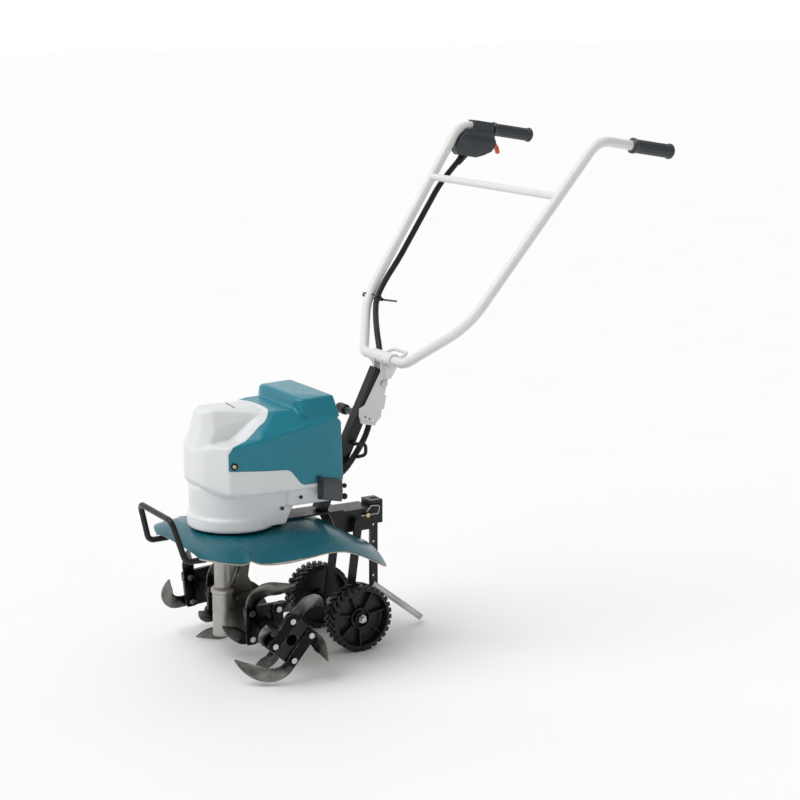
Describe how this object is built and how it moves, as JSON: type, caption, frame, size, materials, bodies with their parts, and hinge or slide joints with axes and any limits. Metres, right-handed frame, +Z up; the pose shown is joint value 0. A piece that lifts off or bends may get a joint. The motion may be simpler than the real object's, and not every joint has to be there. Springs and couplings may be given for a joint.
{
  "type": "tiller",
  "caption": "Upright battery garden tiller with curved blades under a fender, a bent tube handle with grips, small transport wheels and a drag stake.",
  "frame": {"origin": "bottom centre of the whole machine's bounding box, on the ground", "axes": "+X is the operator's left, along the tine shaft; +Y points back to the operator; +Z is up"},
  "size_m": [0.5984, 1.1466, 1.1338],
  "materials": {
    "cast_metal": "sand cast, lightly painted",
    "zinc_steel": "zinc plated",
    "plain_steel": "machined",
    "black_rubber": "moulded",
    "black_paint": "satin paint",
    "white_plastic": "satin moulded",
    "black_plastic": "fine grain",
    "teal_paint": "satin paint",
    "brass_metal": "turned",
    "tine_steel": "heat treated, worn bright at edges",
    "teal_plastic": "satin moulded",
    "grey_plastic": "satin moulded",
    "white_paint": "gloss powder coat",
    "orange_plastic": "satin moulded"
  },
  "bodies": {
    "chassis": {"gear_case": "cast_metal", "gear_case_cover": "cast_metal", "case_screws": "zinc_steel", "tine_shaft_bearings": "plain_steel", "worm_bearings": "plain_steel", "shaft_seals": "black_rubber", "motor_can": "plain_steel", "motor_stator": "plain_steel", "mount_plate": "black_paint", "lower_housing": "white_plastic", "housing_screws": "zinc_steel", "cable_hook": "black_paint", "battery_pack": "black_plastic", "fender": "teal_paint", "front_guard": "black_paint", "rear_bumpers": "black_rubber", "handle_post": "black_paint", "pivot_bolt": "zinc_steel", "lower_cable": "black_rubber", "hitch_channel": "black_paint", "stake_holder": "black_paint", "hitch_pin": "brass_metal", "hitch_clip": "zinc_steel"},
    "drive": {"worm": "plain_steel", "motor_rotor": "plain_steel"},
    "tines": {"worm_wheel": "brass_metal", "tine_shaft": "plain_steel", "left_hub_tube": "tine_steel", "right_hub_tube": "tine_steel", "hub_pins": "zinc_steel", "left_outer_flange": "tine_steel", "left_inner_flange": "tine_steel", "right_inner_flange": "tine_steel", "right_outer_flange": "tine_steel", "left_outer_blades": "tine_steel", "left_inner_blades": "tine_steel", "right_inner_blades": "tine_steel", "right_outer_blades": "tine_steel", "tine_bolts": "zinc_steel"},
    "cover": {"top_cover": "teal_plastic"},
    "left_latch_body": {"left_latch": "grey_plastic"},
    "right_latch_body": {"right_latch": "grey_plastic"},
    "handle": {"handle_bracket": "white_paint", "handlebar": "white_paint", "crossbar": "white_paint", "left_grip": "black_rubber", "right_grip": "black_rubber", "switch_box": "black_plastic", "strain_relief": "black_rubber", "upper_cable": "black_rubber", "cable_tie": "black_plastic"},
    "trigger": {"switch_lever": "orange_plastic"},
    "knob": {"lock_knob": "black_plastic"},
    "carrier": {"wheel_carrier": "black_paint", "wheel_axles": "zinc_steel", "wheel_nuts": "zinc_steel"},
    "left_wheel_body": {"left_wheel": "black_plastic"},
    "right_wheel_body": {"right_wheel": "black_plastic"},
    "stake": {"drag_stake": "black_paint", "tail_bar": "black_paint"}
  },
  "joints": [
    {"name": "tine_spin", "type": "hinge", "parent": "chassis", "child": "tines", "pos_m": [0, -0.36085, 0.098], "axis": [1, 0, 0], "continuous": true},
    {"name": "drive_spin", "type": "hinge", "parent": "chassis", "child": "drive", "pos_m": [0, -0.41285, 0], "axis": [0, 0, 1], "continuous": true},
    {"name": "cover_lift", "type": "slide", "parent": "chassis", "child": "cover", "axis": [0, 0, 1], "range_m": [0, 0.12]},
    {"name": "left_latch_turn", "type": "hinge", "parent": "chassis", "child": "left_latch_body", "pos_m": [0.1268, -0.36085, 0.361], "axis": [0, 1, 0], "range_deg": [0, 95]},
    {"name": "right_latch_turn", "type": "hinge", "parent": "chassis", "child": "right_latch_body", "pos_m": [-0.1268, -0.36085, 0.361], "axis": [0, 1, 0], "range_deg": [-95, 0]},
    {"name": "handle_tilt", "type": "hinge", "parent": "chassis", "child": "handle", "pos_m": [0, -0.01605, 0.5795], "axis": [1, 0, 0], "range_deg": [-16, 0]},
    {"name": "trigger_pull", "type": "hinge", "parent": "handle", "child": "trigger", "pos_m": [-0.2822, 0.44341, 1.083], "axis": [1, 0, 0], "range_deg": [0, 12], "stiffness_Nm_per_rad": 0.4},
    {"name": "knob_turn", "type": "hinge", "parent": "chassis", "child": "knob", "pos_m": [0, -0.06285, 0.508], "axis": [1, 0, 0], "continuous": true},
    {"name": "wheel_swing", "type": "hinge", "parent": "chassis", "child": "carrier", "pos_m": [0, -0.09885, 0.274], "axis": [1, 0, 0], "range_deg": [0, 25]},
    {"name": "left_wheel_spin", "type": "hinge", "parent": "carrier", "child": "left_wheel_body", "pos_m": [0.096, -0.12785, 0.075], "axis": [1, 0, 0], "continuous": true},
    {"name": "right_wheel_spin", "type": "hinge", "parent": "carrier", "child": "right_wheel_body", "pos_m": [-0.096, -0.12785, 0.075], "axis": [1, 0, 0], "continuous": true},
    {"name": "stake_height", "type": "slide", "parent": "chassis", "child": "stake", "axis": [0, 0, 1], "range_m": [0, 0.08]}
  ],
  "couplings": [
    {"joint": "drive_spin", "follows": "tine_spin", "ratio": 30}
  ]
}
